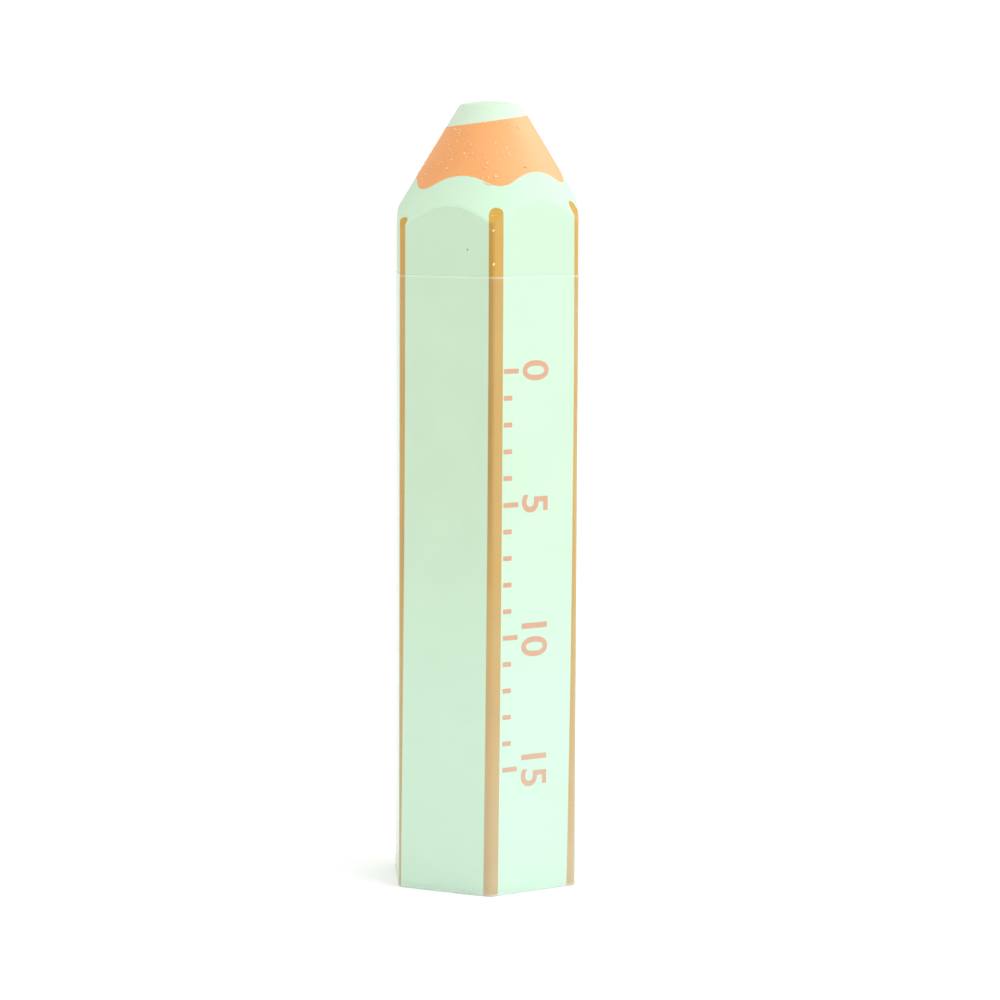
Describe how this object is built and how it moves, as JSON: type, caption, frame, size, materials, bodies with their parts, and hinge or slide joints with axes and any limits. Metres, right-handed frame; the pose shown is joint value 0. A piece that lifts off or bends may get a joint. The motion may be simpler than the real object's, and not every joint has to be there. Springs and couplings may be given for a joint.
{
  "type": "pencil-shaped eraser",
  "caption": "Hexagonal pencil-shaped eraser: a co-extruded soft vinyl bar with coloured layers and edge strips, sharpened at one end, in a clear film sleeve that slides along it.",
  "frame": {"origin": "centre of the flat tail end, on the surface that the eraser stands on", "axes": "+Z along the bar from the tail to the sharpened tip; an edge of the hexagon faces -Y and two flats face +X and -X"},
  "size_m": [0.0156, 0.0176, 0.067],
  "materials": {
    "mint_vinyl": "satin, soft and slightly translucent",
    "orange_vinyl": "matt where it is cut",
    "ochre_vinyl": "satin",
    "clear_film": "clear and glossy"
  },
  "bodies": {
    "bar": {"core": "mint_vinyl", "orange_layer": "orange_vinyl", "casing": "mint_vinyl", "edge_strip_front": "ochre_vinyl", "edge_strip_front_right": "ochre_vinyl", "edge_strip_back_right": "ochre_vinyl", "edge_strip_back": "ochre_vinyl", "edge_strip_back_left": "ochre_vinyl", "edge_strip_front_left": "ochre_vinyl"},
    "sleeve": {"film_sleeve": "clear_film"}
  },
  "joints": [
    {"name": "sleeve_slide", "type": "slide", "parent": "bar", "child": "sleeve", "axis": [0, 0, 1], "range_m": [0, 0.07]}
  ]
}
